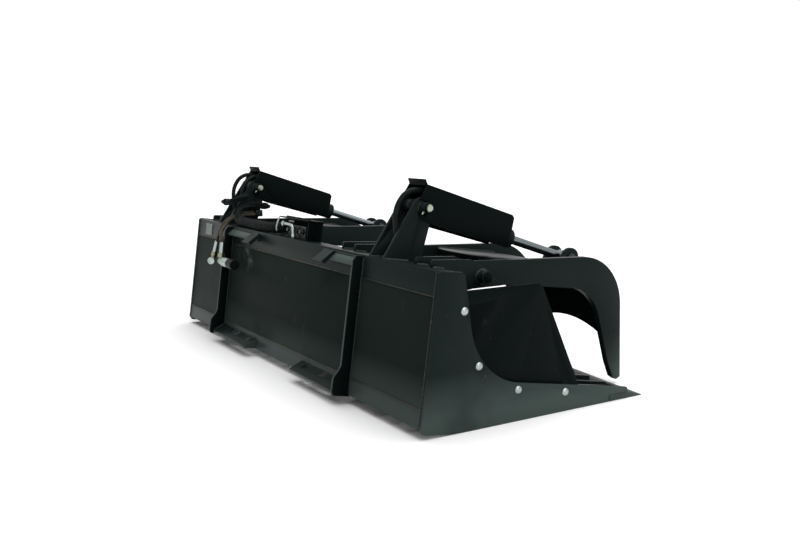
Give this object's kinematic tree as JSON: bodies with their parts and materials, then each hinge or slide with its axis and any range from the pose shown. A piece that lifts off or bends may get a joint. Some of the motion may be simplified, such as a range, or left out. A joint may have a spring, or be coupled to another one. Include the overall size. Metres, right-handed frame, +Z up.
{
  "type": "rock grapple bucket",
  "caption": "Open tine bucket with a pointed cutting edge and two hydraulic clamp arms, coupled to a skid-steer loader by its back.",
  "frame": {"origin": "middle of the footprint at floor level, between the two ends and between the coupling flanges' feet and the point of the cutting edge", "axes": "+X along the cutting edge to the right end, +Y forward to the cutting edge, +Z up"},
  "size_m": [2.046, 1.099, 0.7525],
  "materials": {
    "powder_coat": "satin black powder coat with a faint green tint, worn at the edges",
    "zinc_plate": "zinc plate, slightly dulled",
    "bright_steel": "turned steel with a thin oil film",
    "hard_chrome": "polished hard chrome",
    "hose_rubber": "matte black hose cover",
    "hose_sleeve": "woven nylon sleeve"
  },
  "bodies": {
    "bucket": {"side_plate_right": "powder_coat", "side_plate_left": "powder_coat", "top_beam": "powder_coat", "back_sheet": "powder_coat", "lower_rail": "powder_coat", "tines_left": "powder_coat", "tines_middle": "powder_coat", "tines_right": "powder_coat", "cutting_edge": "powder_coat", "end_panel_right": "powder_coat", "end_panel_left": "powder_coat", "panel_bolts_right": "zinc_plate", "panel_bolts_left": "zinc_plate", "coupler_flange_right": "powder_coat", "coupler_flange_left": "powder_coat", "top_lip_right": "powder_coat", "top_lip_left": "powder_coat", "bottom_lip_right": "powder_coat", "bottom_lip_left": "powder_coat", "hinge_ears_right": "powder_coat", "hinge_ears_left": "powder_coat", "hinge_pins_right": "bright_steel", "hinge_pins_left": "bright_steel", "tower_right": "powder_coat", "tower_left": "powder_coat", "tower_pin_right": "bright_steel", "tower_pin_left": "bright_steel", "valve_box": "powder_coat", "valve_block": "zinc_plate", "hose_bulkheads": "zinc_plate", "hose_bundle": "hose_sleeve", "hose_wrap": "hose_sleeve", "whip_hose_a": "hose_rubber", "whip_hose_b": "hose_rubber", "coupler_a": "zinc_plate", "coupler_b": "zinc_plate"},
    "arm_right": {"arm_outer_plate_right": "powder_coat", "arm_inner_plate_right": "powder_coat", "arm_web_right": "powder_coat", "rod_lugs_right": "powder_coat", "rod_pin_ends_right": "bright_steel"},
    "barrel_right": {"barrel_right": "powder_coat", "gland_right": "powder_coat", "guard_right": "powder_coat", "hose_loops_right": "hose_rubber", "cylinder_fittings_right": "zinc_plate"},
    "rod_right": {"rod_right": "hard_chrome", "piston_right": "bright_steel"},
    "arm_left": {"arm_outer_plate_left": "powder_coat", "arm_inner_plate_left": "powder_coat", "arm_web_left": "powder_coat", "rod_lugs_left": "powder_coat", "rod_pin_ends_left": "bright_steel"},
    "barrel_left": {"barrel_left": "powder_coat", "gland_left": "powder_coat", "guard_left": "powder_coat", "hose_loops_left": "hose_rubber", "cylinder_fittings_left": "zinc_plate"},
    "rod_left": {"rod_left": "hard_chrome", "piston_left": "bright_steel"}
  },
  "joints": [
    {"name": "arm_swing_right", "type": "hinge", "parent": "bucket", "child": "arm_right", "pos_m": [0.615, -0.18303, 0.452], "axis": [1, 0, 0], "range_deg": [0, 55]},
    {"name": "cylinder_swing_right", "type": "hinge", "parent": "bucket", "child": "barrel_right", "pos_m": [0.65, -0.27203, 0.661], "axis": [1, 0, 0], "range_deg": [0, 49.1]},
    {"name": "rod_slide_right", "type": "slide", "parent": "barrel_right", "child": "rod_right", "axis": [0, 0.95, -0.3123], "range_m": [-0.2013, 0]},
    {"name": "arm_swing_left", "type": "hinge", "parent": "bucket", "child": "arm_left", "pos_m": [-0.675, -0.18303, 0.452], "axis": [1, 0, 0], "range_deg": [0, 55]},
    {"name": "cylinder_swing_left", "type": "hinge", "parent": "bucket", "child": "barrel_left", "pos_m": [-0.71, -0.27203, 0.661], "axis": [1, 0, 0], "range_deg": [0, 49.1]},
    {"name": "rod_slide_left", "type": "slide", "parent": "barrel_left", "child": "rod_left", "axis": [0, 0.95, -0.3123], "range_m": [-0.2013, 0]}
  ],
  "couplings": [
    {"joint": "cylinder_swing_right", "follows": "arm_swing_right", "ratio": 0.89241},
    {"joint": "rod_slide_right", "follows": "arm_swing_right", "m_per_rad": -0.20958},
    {"joint": "cylinder_swing_left", "follows": "arm_swing_left", "ratio": 0.89241},
    {"joint": "rod_slide_left", "follows": "arm_swing_left", "m_per_rad": -0.20958}
  ]
}
